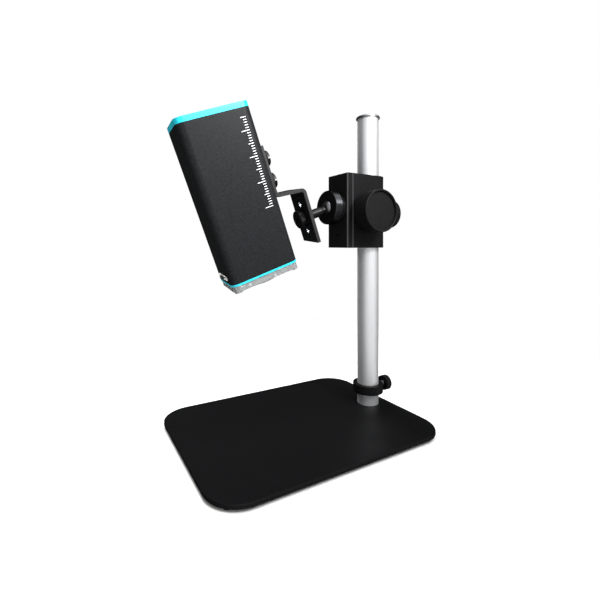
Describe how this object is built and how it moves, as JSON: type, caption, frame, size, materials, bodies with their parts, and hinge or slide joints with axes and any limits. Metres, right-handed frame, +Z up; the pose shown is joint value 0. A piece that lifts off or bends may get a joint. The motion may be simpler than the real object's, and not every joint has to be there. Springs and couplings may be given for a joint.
{
  "type": "digital microscope with post stand",
  "caption": "USB microscope head with a clear lens hood on a bent bracket and locking ball joint, carried by a rack focusing block that slides and swings on a round post with a flat base.",
  "frame": {"origin": "on the table, under the middle of the box round the whole stand", "axes": "+Z up along the post, +Y from the head towards the post, +X to the right seen from the head"},
  "size_m": [0.15, 0.2182, 0.2797],
  "materials": {
    "plate_coat": "satin fine-textured powder coat",
    "rubber": "matte",
    "post_metal": "satin anodised",
    "steel": "plain",
    "dark_screw": "black oxide",
    "knob_plastic": "fine-grained",
    "thumb_screw": "moulded over steel",
    "block_coat": "black anodised",
    "nylon": "natural",
    "brass": "plain",
    "gloss_black": "gloss",
    "bracket_coat": "satin powder coat",
    "head_metal": "black anodised, fine grain",
    "cyan_metal": "cyan anodised",
    "clear_plastic": "clear",
    "lens_glass": "polished",
    "barrel_metal": "black anodised",
    "holder_plastic": "plain",
    "lamp_board": "white solder mask",
    "lamp": "clear over phosphor",
    "green_board": "green solder mask",
    "chip": "moulded",
    "sensor": "glass over the chip",
    "ribbon": "amber film",
    "usb_metal": "plain",
    "white_plastic": "satin",
    "grey_plastic": "satin"
  },
  "bodies": {
    "stand": {"base_plate": "plate_coat", "rubber_feet": "rubber", "post": "post_metal", "foot_plug": "steel", "post_screw": "steel", "post_cap": "post_metal"},
    "collar": {"stop_collar": "block_coat"},
    "collar_screw": {"collar_thumb_screw": "thumb_screw"},
    "liner": {"post_bush": "nylon"},
    "carriage": {"focus_block": "block_coat", "lock_pad": "brass", "shaft_bushes": "block_coat", "gib_strip": "brass", "gib_screws": "steel"},
    "post_lock": {"lock_knob": "knob_plastic", "lock_screw": "steel"},
    "focus_drive": {"pinion_shaft": "steel", "focus_knob": "knob_plastic", "shaft_collar": "block_coat", "grub_screws": "steel"},
    "slide": {"slide_plate": "block_coat", "focus_rack": "brass", "rack_screw": "dark_screw", "ball_socket": "gloss_black", "socket_screw": "steel"},
    "seat": {"ball_seat": "nylon"},
    "ring": {"lock_ring": "gloss_black"},
    "stud": {"ball": "gloss_black", "ball_stem": "gloss_black"},
    "head": {"bracket": "bracket_coat", "stem_washer": "steel", "screw_inserts": "brass", "body_shell": "head_metal", "top_cap": "cyan_metal", "cap_screws": "dark_screw", "lower_bezel": "cyan_metal", "clear_hood": "clear_plastic", "hood_screws": "dark_screw", "lamp_board": "lamp_board", "lamps": "lamp", "lens_holder": "holder_plastic", "lens_barrel": "barrel_metal", "front_lens": "lens_glass", "rear_lens": "lens_glass", "sensor_board": "green_board", "image_sensor": "sensor", "ribbon_cable": "ribbon", "main_board": "green_board", "processor": "chip", "usb_socket": "usb_metal", "slider_bezel": "white_plastic", "slider_unit": "holder_plastic"},
    "stem_clamp": {"stem_screw": "gloss_black"},
    "upper_screw": {"thumb_screw_upper": "gloss_black"},
    "lower_screw": {"thumb_screw_lower": "gloss_black"},
    "lamp_dimmer": {"lamp_slider": "grey_plastic"}
  },
  "joints": [
    {"name": "collar_slide", "type": "slide", "parent": "stand", "child": "collar", "axis": [0, 0, 1], "range_m": [-0.007, 0.03]},
    {"name": "collar_screw_turn", "type": "hinge", "parent": "collar", "child": "collar_screw", "pos_m": [0, 0.07911, 0.0205], "axis": [0, 1, 0], "continuous": true},
    {"name": "carriage_slide", "type": "slide", "parent": "stand", "child": "liner", "axis": [0, 0, 1], "range_m": [-0.075, 0.055]},
    {"name": "carriage_swing", "type": "hinge", "parent": "liner", "child": "carriage", "pos_m": [0, 0.07911, 0.1877], "axis": [0, 0, 1], "continuous": true},
    {"name": "lock_turn", "type": "hinge", "parent": "carriage", "child": "post_lock", "pos_m": [0, 0.07911, 0.1877], "axis": [0, 1, 0], "continuous": true},
    {"name": "focus_slide", "type": "slide", "parent": "carriage", "child": "slide", "axis": [0, 0, 1], "range_m": [-0.015, 0.015]},
    {"name": "focus_turn", "type": "hinge", "parent": "carriage", "child": "focus_drive", "pos_m": [0, 0.06335, 0.1866], "axis": [1, 0, 0], "range_deg": [-246.1, 246.1]},
    {"name": "ring_turn", "type": "hinge", "parent": "slide", "child": "ring", "pos_m": [0, 0.03386, 0.1905], "axis": [0, 1, 0], "continuous": true},
    {"name": "ball_roll", "type": "hinge", "parent": "slide", "child": "seat", "pos_m": [0, 0.03386, 0.1905], "axis": [0, 1, 0], "range_deg": [-45, 45]},
    {"name": "ball_tilt", "type": "hinge", "parent": "seat", "child": "stud", "pos_m": [0, 0.03386, 0.1905], "axis": [0.93, 0, -0.3676], "range_deg": [-46, 2.5]},
    {"name": "stem_spin", "type": "hinge", "parent": "stud", "child": "head", "pos_m": [0, 0.03386, 0.1905], "axis": [0.1384, 0.9264, 0.3502], "range_deg": [-45, 45]},
    {"name": "stem_screw_turn", "type": "hinge", "parent": "head", "child": "stem_clamp", "pos_m": [0, 0.03386, 0.1905], "axis": [0.1384, 0.9264, 0.3502], "continuous": true},
    {"name": "upper_screw_turn", "type": "hinge", "parent": "head", "child": "upper_screw", "pos_m": [-0.00537, -0.03651, 0.22629], "axis": [0.1384, 0.9264, 0.3502], "continuous": true},
    {"name": "lower_screw_turn", "type": "hinge", "parent": "head", "child": "lower_screw", "pos_m": [-0.00603, -0.02974, 0.20866], "axis": [0.1384, 0.9264, 0.3502], "continuous": true},
    {"name": "lamp_slide", "type": "slide", "parent": "head", "child": "lamp_dimmer", "axis": [0.9898, -0.1171, -0.0816], "range_m": [-0.006, 0.006]}
  ],
  "couplings": [
    {"joint": "focus_turn", "follows": "focus_slide", "rad_per_m": -285.71}
  ]
}
